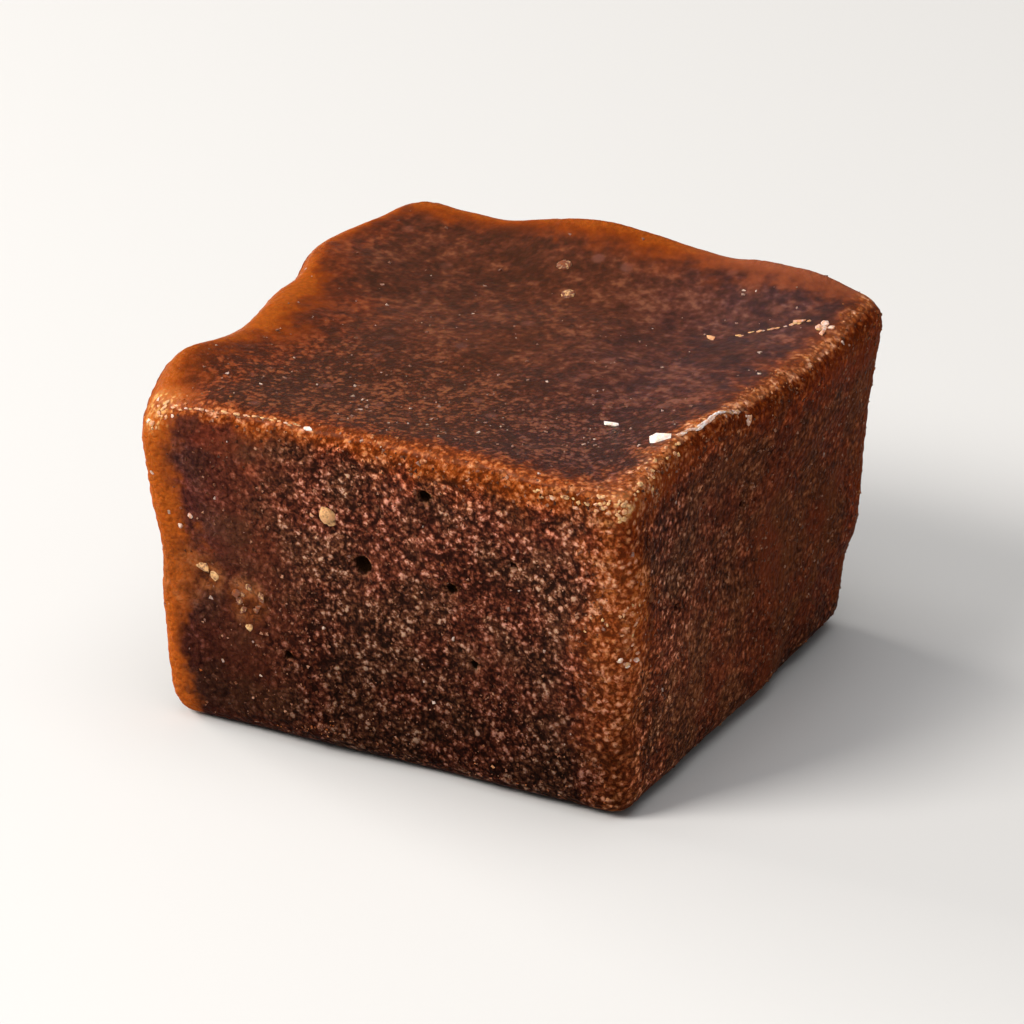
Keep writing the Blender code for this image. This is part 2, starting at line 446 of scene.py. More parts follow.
def blend(tree, share, first, second, kind="MIX"):
    """Two colours mixed, or multiplied, as far as a share says."""
    node = tree.nodes.new("ShaderNodeMix")
    node.data_type = "RGBA"
    node.blend_type = kind
    feed(tree, node.inputs[0], share)
    feed(tree, node.inputs[6], first)
    feed(tree, node.inputs[7], second)
    return node.outputs[2]


def tinted(colour, share, tint):
    """The sugar's colour multiplied by a tint, as far as a share says."""
    return blend(tree, share, colour, (*tint, 1), "MULTIPLY")


def covered(colour, share, cover):
    """The sugar's colour covered by another one, as far as a share says."""
    return blend(tree, share, colour, (*cover, 1))


print("material:", sugar.name)

# %% [markdown]
# The colours share a few patterns. Clouds are wide and slow, blobs are a millimetre
# wide, flecks and beads are single grains. The clouds are turned out of line with the
# block, as their lattice would show along its sides. The grains' tone adds them up.

# %% Patterns of the sugar
CLOUD_TURN = (0.5, 0.7, 0.6)
MIDDLE_TONE = 0.42

mm = scaled(tree, tree.nodes.new("ShaderNodeTexCoord").outputs["Object"], TO_MM)
axes = split(tree, mm)
turned = add(tree, "ShaderNodeVectorRotate", rotation_type="EULER_XYZ", inputs={
    "Vector": mm, "Rotation": CLOUD_TURN}).outputs[0]
clouds = noise(tree, turned, 0.24, detail=3.0, roughness=0.6)
blobs = noise(tree, mm, 0.95, detail=2.0, roughness=0.55)
dapple = noise(tree, mm, 2.3, detail=1.0)
fleck = soft_step(tree, noise(tree, mm, 4.2, detail=2.0, roughness=0.6), 0.34, 0.66)
bead, bead_tone = cells(tree, mm, 3.0)
lump_tone = cells(tree, mm, 1.5)[1]
grain_tone = weighted(tree, (bead_tone, 0.36), (fleck, 0.46), (lump_tone, 0.18))
grain_tone = less(tree, grain_tone, times(tree, soft_step(tree, bead, 0.25, 0.75), 0.30))
side = attribute(tree, "side")
on_right = soft_step(tree, axes["X"], 13.2, 14.4)
at_front = soft_step(tree, axes["Y"], 4.0, -12.0)


def near(centre, radius):
    """One at a place and zero past a radius, both in millimetres."""
    gap = vector_calc(tree, "DISTANCE", mm, centre, out="Value")
    return soft_step(tree, gap, 0.35 * radius, radius, 1.0, 0.0)


print("patterns ready")

# %% [markdown]
# The top is painted first: maroon, with paler clouds. Towards the front it turns
# granular, so the grains' pattern is mixed in there. A greyer painted sheen lies on
# the right half and the back right corner, and pale veils hang under the surface, each
# round like a bubble.

# %% Paint the top
top_tone = weighted(tree, (clouds, 0.35), (blobs, 0.35), (less(tree, dapple, 0.11), 0.38))
granular = soft_step(tree, at_front, 0.0, 1.0, 0.08, 0.56)
top_tone = plus(tree, top_tone, times(tree, less(tree, grain_tone, MIDDLE_TONE), granular))
top_colour = ramp(tree, top_tone, (
    (0.39, (0.043, 0.013, 0.006)),
    (0.48, (0.068, 0.018, 0.008)),
    (0.54, (0.096, 0.025, 0.011)),
    (0.66, (0.185, 0.060, 0.026)),
))
# painted sheen: the right half of the top is tinted greyer and bluer
painted_sheen = times(tree, soft_step(tree, axes["X"], 0.0, 9.0), soft_step(tree, blobs, 0.35, 0.60, 1.0, 0.6))
top_colour = tinted(top_colour, painted_sheen, (0.82, 1.04, 1.9))
top_colour = tinted(top_colour, at_front, (1.04, 0.95, 0.84))
# painted sheen: a paler, greyer patch at the back right corner of the top
top_colour = tinted(top_colour, near((11.0, 9.0, 18.8), 5.0), (1.12, 1.28, 1.42))
veil_far, veil_pick = cells(tree, mm, 0.55)
veil = times(
    tree, soft_step(tree, veil_far, 0.12, 0.26, 1.0, 0.0), soft_step(tree, veil_pick, 0.45, 0.9, 0.0, 0.55))
top_colour = covered(top_colour, veil, (0.185, 0.066, 0.045))
print("top painted")

# %% [markdown]
# On the sides each grain has its own brown and the gaps between them are dark. The
# contrast is lower where the mould was smoother: on the right side and at the left end
# of the front. Painted shade darkens the foot and painted light brightens the upper
# part, on all sides but the right. The right side is raised in colour as painted
# light, because nothing warm lies beside it to light it.

# %% Paint the sides
left_end = times(
    tree, soft_step(tree, axes["X"], -6.5, -11.5), soft_step(tree, axes["Z"], 7.0, 11.0, 0.6, 1.0))
right_calm = times(tree, on_right, soft_step(tree, axes["Y"], -10.0, 4.0, 0.22, 0.56))
left_calm = times(tree, soft_step(tree, axes["X"], -2.0, -9.5), 0.62)
calm = plus(tree, most(tree, right_calm, left_calm), soft_step(tree, clouds, 0.45, 0.65, 0.0, 0.25))
contrast = less(tree, 1.0, calc(tree, "MINIMUM", calm, 0.8))
patches = times(tree, less(tree, weighted(tree, (blobs, 0.7), (clouds, 0.3)), 0.5), 0.75)
side_tone = times(tree, plus(tree, less(tree, grain_tone, MIDDLE_TONE), patches), contrast)
side_tone = plus(tree, side_tone, less(tree, 0.43, times(tree, calm, 0.02)))
side_colour = ramp(tree, side_tone, (
    (0.06, (0.018, 0.006, 0.004)),
    (0.26, (0.046, 0.013, 0.008)),
    (0.46, (0.105, 0.030, 0.015)),
    (0.62, (0.232, 0.082, 0.048)),
    (0.80, (0.540, 0.280, 0.200)),
))
ruddy = soft_step(tree, noise(tree, turned, 0.35, detail=1.0), 0.40, 0.60)
ruddy_tint = blend(tree, ruddy, (0.96, 1.08, 1.02, 1), (1.07, 0.92, 0.88, 1))
side_colour = blend(tree, 1.0, side_colour, ruddy_tint, "MULTIPLY")
# painted light: the right side is lifted and warmed, most near the front and low down
right_front_painted_light = blend(
    tree, soft_step(tree, axes["Z"], 3.0, 14.0), (2.38, 2.26, 1.86, 1), (1.36, 1.36, 1.30, 1))
right_painted_light = blend(tree, soft_step(tree, axes["Y"], -12.0, 6.0), right_front_painted_light, (1.45, 1.18, 0.84, 1))
side_colour = blend(tree, on_right, side_colour, right_painted_light, "MULTIPLY")
# painted shade: darker towards the foot and lighter near the top, except on the right side
foot_shade = soft_step(tree, axes["Z"], 1.0, 16.0, 0.44, 1.22)
foot_shade = times(tree, foot_shade, less(tree, 1.0, times(tree, left_end, 0.20)))
foot_shade = plus(tree, foot_shade, times(tree, on_right, less(tree, 1.0, foot_shade)))
side_colour = tinted(scaled(tree, side_colour, foot_shade), left_end, (0.88, 0.84, 1.12))
body_colour = blend(tree, side, top_colour, side_colour)
print("sides painted")

# %% [markdown]
# Last come the amber edges, a painted glow of light through the thin sugar. An edge is
# where two sides are both near, so each edge of the block gets its own width and
# strength. A width is squeezed where the photograph shows a thinner glow, and on the
# sides that it doesn't show.

# %% Measure the edges
FRONT_CORNER = (14.1, -13.8, 18.3)
ragged = soft_step(tree, plus(tree, blobs, clouds), 0.75, 1.25, 1.25, 0.70)
reach = {name: attribute(tree, "to_" + name) for name in FACINGS}


def edge_gap(first, second, squeeze=1.0, beyond=1.0):
    """Distance in millimetres from the edge between two sides. It counts squeeze times
    over, which makes a band narrower, and beyond times over again on the second side."""
    away = most(tree, times(tree, reach[first], beyond), reach[second])
    return times(tree, away, ragged, squeeze)


def band(gap, width, strength):
    """Strength near an edge, fading out over a width in millimetres."""
    return soft_step(tree, gap, 0.20 * width, width, strength, 0.0)


squeezed = times(
    tree, soft_step(tree, axes["Y"], 1.0, 7.0, 1.0, 2.2),
    less(tree, 1.0, times(tree, near((-13.5, -2.0, 18.5), 7.0), 0.15)))
slim_low = soft_step(tree, axes["Z"], 3.5, 9.0, 1.7, 1.0)
slim_left = soft_step(tree, axes["X"], -9.0, 3.0, 1.9, 1.0)
top_left = edge_gap("top", "left", squeezed, 2.2)
top_back = edge_gap("top", "back", 1.0, 2.4)
top_front = edge_gap("top", "front", slim_left)
top_right = edge_gap("top", "right")
front_left = edge_gap("front", "left", slim_low, 2.3)
front_right = edge_gap("front", "right")
right_back = edge_gap("right", "back", 1.0, 2.4)
back_left = edge_gap("back", "left")
on_top = soft_step(tree, side, 0.1, 0.4, 1.0, 0.0)
high_up = soft_step(tree, axes["Z"], 2.0, 12.0, 0.30, 1.0)
print("edges measured")

# %% [markdown]
# A wide warm tint of painted glow surrounds every edge. Inside it the left and back
# edges are thin and clear, so a plain amber glow is painted over the grains there, with
# a brighter painted line down the front's left edge and a few dull clouds.

# %% Paint the clear edges
# painted glow: a warm tint near every edge
edge_glow_tint = most(
    tree,
    band(top_left, 6.5, 1.0),
    band(top_back, 3.2, 0.8),
    band(top_front, 2.6, 0.9),
    band(top_right, 2.8, 0.9),
    times(tree, band(front_right, 3.6, 0.9), high_up),
    band(front_left, 3.2, 0.6),
    band(right_back, 3.0, 0.8),
    band(back_left, 1.8, 0.8))
body_colour = tinted(body_colour, edge_glow_tint, (1.42, 0.98, 0.62))
clear_band = most(
    tree,
    band(top_left, 3.5, 1.0),
    band(front_left, 2.9, 1.0),
    band(top_back, 2.8, 0.95),
    band(back_left, 1.5, 0.45),
    band(right_back, 2.2, 0.65))
clear_amber_glow = ramp(tree, clear_band, (
    (0.0, (0.120, 0.025, 0.006)),
    (0.45, (0.165, 0.030, 0.005)),
    (0.80, (0.240, 0.042, 0.004)),
    (1.0, (0.330, 0.070, 0.007)),
))
body_colour = blend(tree, clear_band, body_colour, clear_amber_glow)
# painted glow: the brightest amber line, down the front's left edge
vivid_glow = band(front_left, 3.2, 0.95)
body_colour = covered(body_colour, vivid_glow, (0.400, 0.085, 0.009))
cloudy = times(tree, clear_band, soft_step(tree, plus(tree, fleck, blobs), 0.6, 1.4, 0.0, 0.6))
body_colour = tinted(body_colour, cloudy, (0.66, 0.70, 0.90))
blush = times(tree, band(front_left, 5.0, 0.8), less(tree, 1.0, vivid_glow))
body_colour = tinted(body_colour, blush, (1.20, 1.25, 1.60))
back_right = times(tree, band(top_back, 2.4, 0.7), soft_step(tree, axes["X"], 2.0, 9.0))
body_colour = covered(body_colour, back_right, (0.230, 0.070, 0.038))
print("clear edges painted")

# %% [markdown]
# The front and right edges are broken by grains, so there the painted amber glow takes
# the grains' tone. Painted shade dims it just below the right rim, one painted ember
# glows near the corner, and painted light brightens it where the upright edge catches
# the lamp.

# %% Paint the grainy edges
grain_band = most(
    tree,
    band(top_front, 1.5, 0.95),
    band(top_right, 1.6, 0.85),
    times(tree, band(front_right, 2.9, 0.90), high_up),
    times(tree, near(FRONT_CORNER, 2.8), 0.85))
# painted glow: amber along the grainy edges, in the grains' tone
grain_amber_glow = ramp(tree, grain_tone, (
    (0.12, (0.150, 0.026, 0.003)),
    (0.34, (0.240, 0.043, 0.005)),
    (0.54, (0.340, 0.078, 0.015)),
    (0.74, (0.520, 0.170, 0.055)),
))
# painted shade: the amber is dimmed just below the right rim
shaded_below_rim = times(tree, on_right, soft_step(tree, side, 0.30, 0.70), soft_step(tree, axes["Z"], 14.0, 16.0))
grain_amber_glow = tinted(grain_amber_glow, shaded_below_rim, (0.62, 0.46, 0.30))
broken = times(tree, grain_band, soft_step(tree, grain_tone, 0.05, 0.50, 0.70, 1.0))
body_colour = blend(tree, broken, body_colour, grain_amber_glow)
# painted glow: one ember under the right rim near the corner
painted_ember_glow = times(tree, band(top_right, 2.4, 0.9), shaded_below_rim, near((14.6, -11.0, 16.8), 6.0))
body_colour = covered(body_colour, painted_ember_glow, (0.235, 0.036, 0.004))
# painted light: the upright edge brightened where it faces the lamp
painted_lit_edge = times(tree, band(front_right, 1.9, 0.6), on_right, high_up)
body_colour = tinted(body_colour, painted_lit_edge, (1.60, 1.65, 1.95))
rosy = times(tree, band(front_right, 3.4, 0.8), soft_step(tree, axes["Y"], -13.0, -13.8))
body_colour = tinted(body_colour, rosy, (1.00, 1.14, 1.7))
print("grainy edges painted")

# %% [markdown]
# A crest of pale knots runs along the front and right rims and down the edge between
# the two sides: a painted highlight on the ridges. They are the brighter beads and some
# flecks, gold at the front corners, where golden crystals get a painted highlight too.

# %% Paint the pale crest
# painted highlight: a bright line along the rim ridges and the upright edge
crest_highlight = most(
    tree,
    band(top_front, 0.42, 1.0),
    times(tree, band(top_right, 1.1, 1.0), soft_step(tree, side, 0.2, 0.6, 1.0, 0.12)),
    times(tree, band(front_right, 2.5, 0.72), high_up),
    times(tree, near((13.6, 9.0, 19.0), 5.0), band(top_right, 1.3, 1.0), on_top),
    times(tree, near(FRONT_CORNER, 2.0), 0.9),
    times(tree, near((14.0, -9.8, 18.9), 3.6), band(top_right, 1.8, 1.0)))
round_knots = times(
    tree, soft_step(tree, bead, 0.12, 0.52, 1.0, 0.0), soft_step(tree, bead_tone, 0.15, 0.55),
    soft_step(tree, fleck, 0.15, 0.60, 0.30, 1.0))
loose_flecks = times(tree, soft_step(tree, blobs, 0.48, 0.72), fleck)
knots = most(tree, round_knots, loose_flecks, times(tree, on_top, 0.12))
knot_highlight_colour = ramp(tree, bead_tone, (
    (0.2, (0.500, 0.150, 0.034)),
    (0.6, (0.720, 0.300, 0.120)),
    (0.9, (0.840, 0.450, 0.270)),
))
body_colour = blend(tree, times(tree, crest_highlight, knots), body_colour, knot_highlight_colour)
# painted highlight: gold on the knots at the two front corners
corner_highlights = most(tree, near((-12.9, -13.7, 17.7), 1.7), near((14.1, -13.85, 18.2), 1.5))
body_colour = covered(body_colour, times(tree, corner_highlights, knots), (0.740, 0.390, 0.130))
print("crest painted")

# %% [markdown]
# The front has one chipped place, amber and tan. A pore is painted nearly black inside,
# as painted shade in the hollow, and its pale lip is a painted highlight.

# %% Paint the chip and the pores
chip = most(
    tree, near((-10.1, -13.7, 8.9), 1.5), near((-7.7, -13.8, 8.0), 1.7),
    times(tree, near((-12.0, -13.7, 8.6), 2.4), 0.7))
chip_share = times(tree, chip, soft_step(tree, grain_tone, 0.0, 0.6, 0.35, 0.9))
chip_colour = ramp(tree, blobs, (
    (0.35, (0.090, 0.022, 0.006)),
    (0.50, (0.230, 0.062, 0.016)),
    (0.68, (0.420, 0.160, 0.062)),
))
body_colour = blend(tree, chip_share, body_colour, chip_colour)
pore = attribute(tree, "pore")
# painted highlight: a pale lip round each pore
pore_lip_highlight = times(tree, soft_step(tree, pore, 0.0, 0.12), soft_step(tree, pore, 0.25, 0.55, 0.75, 0.0), fleck)
body_colour = covered(body_colour, pore_lip_highlight, (0.260, 0.100, 0.052))
# painted shade: the inside of each pore is painted nearly black
body_colour = covered(body_colour, soft_step(tree, pore, 0.15, 0.60), (0.008, 0.003, 0.001))
feed(tree, shader.inputs["Base Color"], body_colour)
print("chip and pores painted")

# %% [markdown]
# The finish: the top is smooth enough for a dull sheen, the sides are rough, and a
# fine bump stands for grains that are too small for the mesh. Light enters the sugar
# and comes back redder, which subsurface scattering does.

# %% Finish of the sugar
grainy = most(tree, side, times(tree, attribute(tree, "edge"), 0.8))
rough = plus(tree, soft_step(tree, blobs, 0.3, 0.7, 0.28, 0.42), times(tree, grainy, 0.18))
feed(tree, shader.inputs["Roughness"], rough)
dull = most(tree, grainy, times(tree, clear_band, 0.8))
feed(tree, shader.inputs["Specular IOR Level"], soft_step(tree, dull, 0.0, 1.0, 0.10, 0.008))
shader.inputs["Specular Tint"].default_value = (1.0, 0.90, 0.82, 1.0)
shader.inputs["Subsurface Weight"].default_value = 0.22
shader.inputs["Subsurface Radius"].default_value = (1.0, 0.25, 0.05)
shader.inputs["Subsurface Scale"].default_value = 1.2 * MM
bump_share = most(tree, grainy, soft_step(tree, at_front, 0.0, 1.0, 0.08, 0.35))
bump_height = times(tree, weighted(tree, (bead, -1.0), (fleck, 0.35)), bump_share)
bump = add(tree, "ShaderNodeBump", inputs={
    "Strength": 1.0, "Distance": 0.13 * MM, "Height": bump_height})
feed(tree, shader.inputs["Normal"], bump.outputs["Normal"])
print("cast_sugar has", len(tree.nodes), "nodes")

# %% Make the skin
painted = add(relief, "GeometryNodeSetMaterial", inputs={"Geometry": smooth.outputs[0], "Material": sugar})
feed(relief, result.inputs["Geometry"], painted.outputs[0])


def run_tree(piece, node_tree, values=None):
    """Runs a Geometry Nodes tree on a piece and keeps its result as a plain mesh."""
    modifier = piece.modifiers.new(node_tree.name, "NODES")
    modifier.node_group = node_tree
    for identifier, value in (values or {}).items():
        modifier[identifier] = value
    bpy.context.view_layer.update()
    evaluated = piece.evaluated_get(bpy.context.evaluated_depsgraph_get())
    made = bpy.data.meshes.new_from_object(evaluated)
    piece.modifiers.remove(modifier)
    return made


def triangles(mesh):
    """How many triangles a mesh has."""
    return sum(len(face.vertices) - 2 for face in mesh.polygons)


fine_skin = run_tree(skin, relief, {relief_ids[n]: v for n, v in RELIEF_SIZES.items()})
skin.data = fine_skin
fine_skin.name = "sugar_skin"
print("skin has", triangles(fine_skin), "triangles")

# %% [markdown]
# ## Loose crystals
#
# Whole crystals stand proud of the skin, brown on the sides, amber along the edges and
# pale on the top. Each kind is one tree: points are spread over the skin, as dense as a
# stored value asks, and a small uneven crystal is set on each, partly sunk. Instances
# would be lost in an export, so they are made real.

# %% Crystal material
def crystal_material(name, stops, roughness, glow):
    """Small clear crystals whose colour differs from one to the next."""
    material = bpy.data.materials.new(name)
    material.use_nodes = True
    nodes = material.node_tree
    surface = nodes.nodes["Principled BSDF"]
    tone = attribute(nodes, "tone")
    where = scaled(nodes, nodes.nodes.new("ShaderNodeTexCoord").outputs["Object"], TO_MM)
    cloud = noise(nodes, where, 5.0, detail=3.0)
    mixed_tone = plus(nodes, tone, soft_step(nodes, cloud, 0.3, 0.7, -0.12, 0.12))
    feed(nodes, surface.inputs["Base Color"], ramp(nodes, mixed_tone, stops))
    feed(nodes, surface.inputs["Roughness"], soft_step(nodes, cloud, 0.35, 0.65, roughness, roughness + 0.2))
    surface.inputs["Specular IOR Level"].default_value = 0.07
    surface.inputs["Specular Tint"].default_value = (1.0, 0.88, 0.78, 1.0)
    surface.inputs["Subsurface Weight"].default_value = glow
    surface.inputs["Subsurface Radius"].default_value = (1.0, 0.5, 0.2)
    surface.inputs["Subsurface Scale"].default_value = 0.4 * MM
    facets = add(nodes, "ShaderNodeBump", inputs={
        "Strength": 0.4, "Distance": 0.03 * MM, "Height": noise(nodes, where, 12.0)})
    feed(nodes, surface.inputs["Normal"], facets.outputs["Normal"])
    return material


brown_crystal = crystal_material("brown_crystal", (
    (0.0, (0.046, 0.014, 0.007)),
    (0.5, (0.100, 0.031, 0.014)),
    (0.85, (0.220, 0.082, 0.046)),
    (1.0, (0.400, 0.190, 0.115)),
), roughness=0.30, glow=0.2)
amber_crystal = crystal_material("amber_crystal", (
    (0.0, (0.130, 0.028, 0.007)),
    (0.5, (0.300, 0.075, 0.018)),
    (1.0, (0.560, 0.230, 0.110)),
), roughness=0.2, glow=0.3)
pale_crystal = crystal_material("pale_crystal", (
    (0.0, (0.150, 0.062, 0.042)),
    (0.6, (0.250, 0.130, 0.098)),
    (1.0, (0.560, 0.400, 0.330)),
), roughness=0.22, glow=0.2)
print("crystal materials:", brown_crystal.name, amber_crystal.name, pale_crystal.name)

# %% Crystal scatter tree
CRYSTAL_SHAPE = (1.0, 0.8, 0.65)
CORNER_SHIFT = 0.16
SUNK_SHARE = 0.28
FULL_TURN = 6.283


def crystal_tree(name, material, density, smallest, largest, seed):
    """A tree that sets crystals on a skin; density maps the tree to a field."""
    group = bpy.data.node_groups.new(name, "GeometryNodeTree")
    group.interface.new_socket(name="Geometry", in_out="INPUT", socket_type="NodeSocketGeometry")
    for label, value in (("Smallest", smallest), ("Largest", largest)):
        socket = group.interface.new_socket(name=label, in_out="INPUT", socket_type="NodeSocketFloat")
        socket.default_value = value
    group.interface.new_socket(name="Geometry", in_out="OUTPUT", socket_type="NodeSocketGeometry")
    entry = group.nodes.new("NodeGroupInput").outputs
    spread = add(group, "GeometryNodeDistributePointsOnFaces", inputs={
        "Mesh": entry["Geometry"], "Density": density(group), "Seed": seed})
    cube = add(group, "GeometryNodeMeshCube", inputs={"Size": CRYSTAL_SHAPE})
    jitter = add(group, "FunctionNodeRandomValue", data_type="FLOAT_VECTOR")
    jitter.inputs[0].default_value = (-CORNER_SHIFT, -CORNER_SHIFT, -CORNER_SHIFT)
    jitter.inputs[1].default_value = (CORNER_SHIFT, CORNER_SHIFT, CORNER_SHIFT)
    crystal = add(group, "GeometryNodeSetPosition", inputs={
        "Geometry": cube.outputs["Mesh"], "Offset": jitter.outputs[0]})
    turn = add(group, "FunctionNodeRandomValue", data_type="FLOAT_VECTOR")
    turn.inputs[1].default_value = (FULL_TURN, FULL_TURN, FULL_TURN)
    feed(group, turn.inputs["Seed"], seed + 1)
    rotation = add(group, "FunctionNodeEulerToRotation", inputs={"Euler": turn.outputs[0]})
    chance = add(group, "FunctionNodeRandomValue", data_type="FLOAT", inputs={"Seed": seed + 2})
    small_more = calc(group, "POWER", chance.outputs[1], 2.0)
    size = add(group, "ShaderNodeMapRange", inputs={
        "Value": small_more, "To Min": entry["Smallest"], "To Max": entry["Largest"]}).outputs["Result"]
    sink = scaled(group, spread.outputs["Normal"], times(group, size, -SUNK_SHARE))
    sunk = add(group, "GeometryNodeSetPosition", inputs={
        "Geometry": spread.outputs["Points"], "Offset": sink})
    placed = add(group, "GeometryNodeInstanceOnPoints", inputs={
        "Points": sunk.outputs[0], "Instance": crystal.outputs[0],
        "Rotation": rotation.outputs[0], "Scale": size})
    tone = add(group, "FunctionNodeRandomValue", data_type="FLOAT", inputs={"Seed": seed + 3})
    toned = add(group, "GeometryNodeStoreNamedAttribute", data_type="FLOAT", domain="INSTANCE", inputs={
        "Geometry": placed.outputs[0], "Name": "tone", "Value": tone.outputs[1]})
    real = add(group, "GeometryNodeRealizeInstances", inputs={"Geometry": toned.outputs[0]})
    coloured = add(group, "GeometryNodeSetMaterial", inputs={
        "Geometry": real.outputs[0], "Material": material})
    feed(group, group.nodes.new("NodeGroupOutput").inputs["Geometry"], coloured.outputs[0])
    return group


print("crystal tree ready")

# %% [markdown]
# Where the crystals grow is a product of shares, times how many there are on a square
# metre. They keep off the clear edges at the left, and off the underside.

# %% Where the crystals grow
SIDE_CROWD = 6.0e6
EDGE_CROWD = 2.2e7
TOP_CROWD = 0.9e6


def place_in(group):
    """Where each point of the skin is, in metres."""
    return group.nodes.new("GeometryNodeInputPosition").outputs[0]


def off_the_floor(group):
    """One above the lowest millimetre of the block and zero on the underside."""
    return soft_step(group, split(group, place_in(group))["Z"], 0.4 * MM, 1.0 * MM)


def patchy(group, per_mm, low, high):
    """Noise that leaves some places bare."""
    where = scaled(group, place_in(group), TO_MM)
    return soft_step(group, noise(group, where, per_mm, detail=3.0), low, high)


def clear_of(group, first, second, limit):
    """Zero near the edge between two sides and one past a limit in millimetres."""
    away = most(group, stored(group, "to_" + first), stored(group, "to_" + second))
    return soft_step(group, away, 0.6 * limit, limit)


def side_density(group):
    """Crystals on the granular sides, fewer at the left end."""
    across = split(group, place_in(group))["X"]
    return times(
        group,
        stored(group, "side"),
        patchy(group, 0.35, 0.25, 0.6),
        less(group, 1.0, stored(group, "pore")),
        clear_of(group, "front", "left", 2.2),
        clear_of(group, "top", "left", 3.0),
        clear_of(group, "front", "right", 1.6),
        soft_step(group, across, -11 * MM, -3 * MM, 0.35, 1.0),
        off_the_floor(group),
        SIDE_CROWD)


def edge_density(group):
    """Crystals along the grainy edges."""
    return times(
        group,
        stored(group, "edge"),
        patchy(group, 0.6, 0.35, 0.65),
        clear_of(group, "front", "left", 2.2),
        clear_of(group, "top", "left", 3.0),
        clear_of(group, "top", "back", 1.6),
        off_the_floor(group),
        EDGE_CROWD)


def top_density(group):
    """A few crystals on the smooth top, more towards the front."""
    along = split(group, place_in(group))["Y"]
    return times(
        group,
        less(group, 1.15, stored(group, "side")),
        patchy(group, 0.5, 0.40, 0.65),
        soft_step(group, along, 10 * MM, -10 * MM, 0.25, 1.6),
        off_the_floor(group),
        TOP_CROWD)


print("densities ready")

# %% Scatter the crystals
# Each kind: its name, material, density, smallest and largest size, and seed.
CRYSTALS = (
    ("brown_crystals", brown_crystal, side_density, 0.07 * MM, 0.21 * MM, 3),
    ("amber_crystals", amber_crystal, edge_density, 0.07 * MM, 0.20 * MM, 11),
    ("pale_crystals", pale_crystal, top_density, 0.07 * MM, 0.24 * MM, 23),
)
crystal_pieces = []
for name, material, density, smallest, largest, seed in CRYSTALS:
    group = crystal_tree(name, material, density, smallest, largest, seed)
    spread_mesh = run_tree(skin, group)
    spread_mesh.name = name
    piece = bpy.data.objects.new(name, spread_mesh)
    bpy.context.scene.collection.objects.link(piece)
    crystal_pieces.append(piece)
    print(name, "has", triangles(spread_mesh), "triangles")

# %% [markdown]
# ## The crumbs that stand out
#
# A few lumps are large enough to be known by sight: a golden crystal on the front, two
# bubbles on the top, pale flakes along the rim. The white lumps are painted glints, and
# the pale rows along the rims are partly a painted highlight. Each is a small ball
# pushed out of shape, laid on the nearest place of the skin and half sunk in it.
# Clusters and rows of them are drawn with a seeded random, so every run gives the same
# ones.

# %% Crumb maker
import random

from mathutils import noise as rumple
from mathutils.bvhtree import BVHTree

dice = random.Random(41)
skin_tree = BVHTree.FromPolygons(
    [vertex.co for vertex in fine_skin.vertices], [tuple(face.vertices) for face in fine_skin.polygons])
crumb_cage = bmesh.new()
crumb_tone = crumb_cage.verts.layers.float.new("tone")


def crumb(place, size, tone, flat=0.7, heading=None, rough=0.42):
    """One lump: its place and its size in millimetres, its tone, how flat it lies, which
    way its length points and how rough it is. A smooth one gets more faces."""
    spot, out, _, _ = skin_tree.find_nearest(Vector(place) * MM)
    if heading is None:
        heading = Vector([dice.gauss(0, 1) for _ in range(3)])
    ahead = (heading - out * heading.dot(out)).normalized()
    aside = out.cross(ahead)
    rounds = 2 if rough < 0.2 else 1
    made = bmesh.ops.create_icosphere(crumb_cage, subdivisions=rounds, radius=0.5)["verts"]
    shift = Vector((dice.uniform(0, 99), 0, 0))
    tall = min(size) * flat
    for vertex in made:
        local = vertex.co * (1.0 + rough * 2.0 * rumple.noise(vertex.co * 3.0 + shift))
        flat_part = ahead * local.x * size[0] + aside * local.y * size[1]
        vertex.co = spot + (flat_part + out * (local.z + 0.06) * tall) * MM
        vertex[crumb_tone] = tone


def cluster(centre, spread, count, sizes, tones, flat=0.7):
    """Several lumps round a place."""
    for _ in range(count):
        place = Vector(centre) + Vector([dice.gauss(0, spread) for _ in range(3)])
        width = dice.uniform(*sizes)
        crumb(place, (width, width * dice.uniform(0.6, 1.0)), dice.uniform(*tones), flat)


def row(start, end, count, sizes, tones, stray=0.08, stretch=2.0):
    """Long lumps strung from one place to another."""
    heading = Vector(end) - Vector(start)
    for index in range(count):
        place = Vector(start) + heading * (index + 0.5) / count
        place += Vector([dice.gauss(0, stray) for _ in range(3)])
        width = dice.uniform(*sizes)
        crumb(place, (width * stretch, width), dice.uniform(*tones), 0.7, heading)


DULL, GOLD, ROSE, GLINT_WHITE = 0.2, 0.4, 0.65, 0.97
print("crumb maker ready")

# %% Place the crumbs
crumb((-2.62, -14.1, 14.1), (0.92, 1.00), GOLD, flat=0.8, heading=Vector((1, 0, 0)), rough=0.12)
crumb((-2.45, -14.1, 13.75), (0.55, 0.45), GOLD, flat=0.8, heading=Vector((1, 0, 0)), rough=0.12)
crumb((-3.55, -14.0, 13.9), (0.32, 0.26), ROSE)
crumb((-10.9, -13.95, 12.1), (0.46, 0.36), ROSE + 0.1)
crumb((-11.55, -13.8, 11.3), (0.36, 0.30), ROSE + 0.1)
# painted glint: a white flake on the front rim
crumb((-3.8, -14.0, 18.6), (0.60, 0.26), GLINT_WHITE, heading=Vector((1, 0, 0)))
crumb((-1.8, 9.8, 18.9), (0.85, 0.80), DULL, flat=0.30, rough=0.05)
crumb((-0.4, 7.6, 18.3), (0.80, 0.78), DULL + 0.04, flat=0.30, rough=0.05)
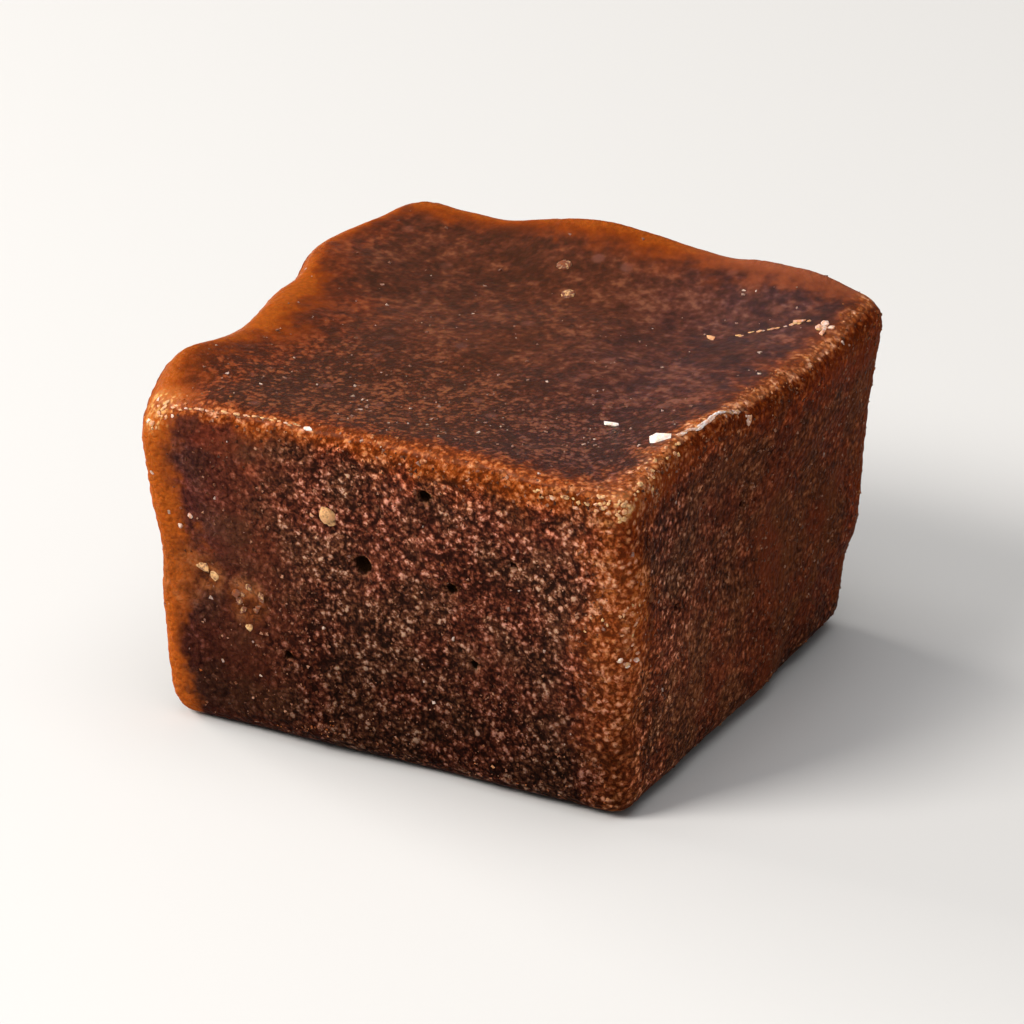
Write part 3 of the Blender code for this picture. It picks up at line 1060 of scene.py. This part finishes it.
# painted glints: two white flakes on the top, near the right rim
crumb((12.6, -7.4, 19.0), (1.45, 0.95), GLINT_WHITE, flat=0.5, heading=Vector((1, 0.3, 0)))
crumb((8.95, -5.4, 18.1), (0.74, 0.60), GLINT_WHITE, flat=0.5, heading=Vector((1, 0.4, 0)))
crumb((8.6, 6.6, 18.1), (0.80, 0.34), ROSE - 0.1, heading=Vector((1, -0.8, 0)))
row((9.8, 7.1, 18.4), (12.8, 9.3, 18.9), 14, (0.10, 0.20), (0.40, 0.72), 0.08, 2.0)
crumb((12.4, 9.2, 18.9), (0.75, 0.34), ROSE, heading=Vector((1, 0.6, 0)))
cluster((13.9, 8.9, 18.9), 0.25, 10, (0.28, 0.55), (0.35, 0.90))
# painted highlight: pale rows along the curl of the right rim
row((13.4, -7.0, 19.1), (14.0, -5.6, 19.2), 12, (0.12, 0.20), (0.55, 0.88), 0.05, 3.0)
row((14.0, -5.6, 19.2), (14.2, -3.4, 19.2), 22, (0.15, 0.23), (0.76, 0.94), 0.03, 3.2)
row((14.2, -3.4, 19.2), (14.6, -2.0, 18.7), 10, (0.12, 0.20), (0.50, 0.80), 0.05, 2.6)
cluster((14.8, -1.5, 18.2), 0.16, 5, (0.24, 0.40), (0.55, 0.80))
cluster((14.1, -13.85, 18.3), 0.34, 14, (0.16, 0.34), (0.36, 0.56), 0.5)
cluster((13.0, -14.0, 18.4), 0.40, 9, (0.14, 0.28), (0.36, 0.66), 0.5)
row((14.1, -12.8, 18.7), (13.8, -7.8, 19.1), 18, (0.12, 0.26), (0.34, 0.60), 0.28, 1.3)
row((9.0, -14.2, 18.3), (13.4, -13.9, 17.9), 16, (0.10, 0.22), (0.25, 0.70), 0.18, 1.6)
cluster((-12.6, -13.8, 17.5), 0.42, 16, (0.16, 0.36), (0.30, 0.90), 0.6)
# painted highlight, partly: a thin pale row along the front rim from the left corner
row((-12.0, -13.9, 18.0), (-4.2, -14.0, 18.7), 30, (0.08, 0.16), (0.20, 0.75), 0.08, 2.4)
cluster((13.9, -13.5, 9.4), 0.35, 9, (0.16, 0.34), (0.5, 0.9))
cluster((13.8, -13.5, 12.5), 0.90, 16, (0.12, 0.26), (0.3, 0.75), 0.6)
cluster((-7.7, -13.8, 8.0), 0.55, 9, (0.30, 0.60), (0.10, 0.24), 0.4)
crumb((-7.5, -13.9, 6.5), (0.46, 0.40), 0.36, flat=0.4)
crumb((-10.4, -13.75, 9.15), (0.85, 0.55), 0.33, flat=0.35, heading=Vector((1, 0, -0.3)))
crumb((-9.7, -13.75, 8.8), (0.62, 0.46), 0.35, flat=0.35, heading=Vector((1, 0, -0.3)))

crumb_mesh = bpy.data.meshes.new("crumbs")
bmesh.ops.recalc_face_normals(crumb_cage, faces=crumb_cage.faces)
crumb_cage.to_mesh(crumb_mesh)
crumb_cage.free()
crumb_mesh.materials.append(crystal_material("crumb", (
    (0.0, (0.290, 0.075, 0.015)),
    (0.2, (0.150, 0.060, 0.042)),
    (0.4, (0.740, 0.420, 0.185)),
    (0.65, (0.600, 0.255, 0.145)),
    # the whitest tone is the colour of the painted glints
    (1.0, (0.900, 0.800, 0.720)),
), roughness=0.22, glow=0.25))
crumbs = bpy.data.objects.new("crumbs", crumb_mesh)
bpy.context.scene.collection.objects.link(crumbs)
crystal_pieces.append(crumbs)
print("crumbs have", triangles(crumb_mesh), "triangles")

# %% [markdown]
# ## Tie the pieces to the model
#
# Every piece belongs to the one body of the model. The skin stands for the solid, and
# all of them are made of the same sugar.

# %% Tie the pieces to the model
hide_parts("block")
for piece in [skin, *crystal_pieces]:
    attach(piece, "root")
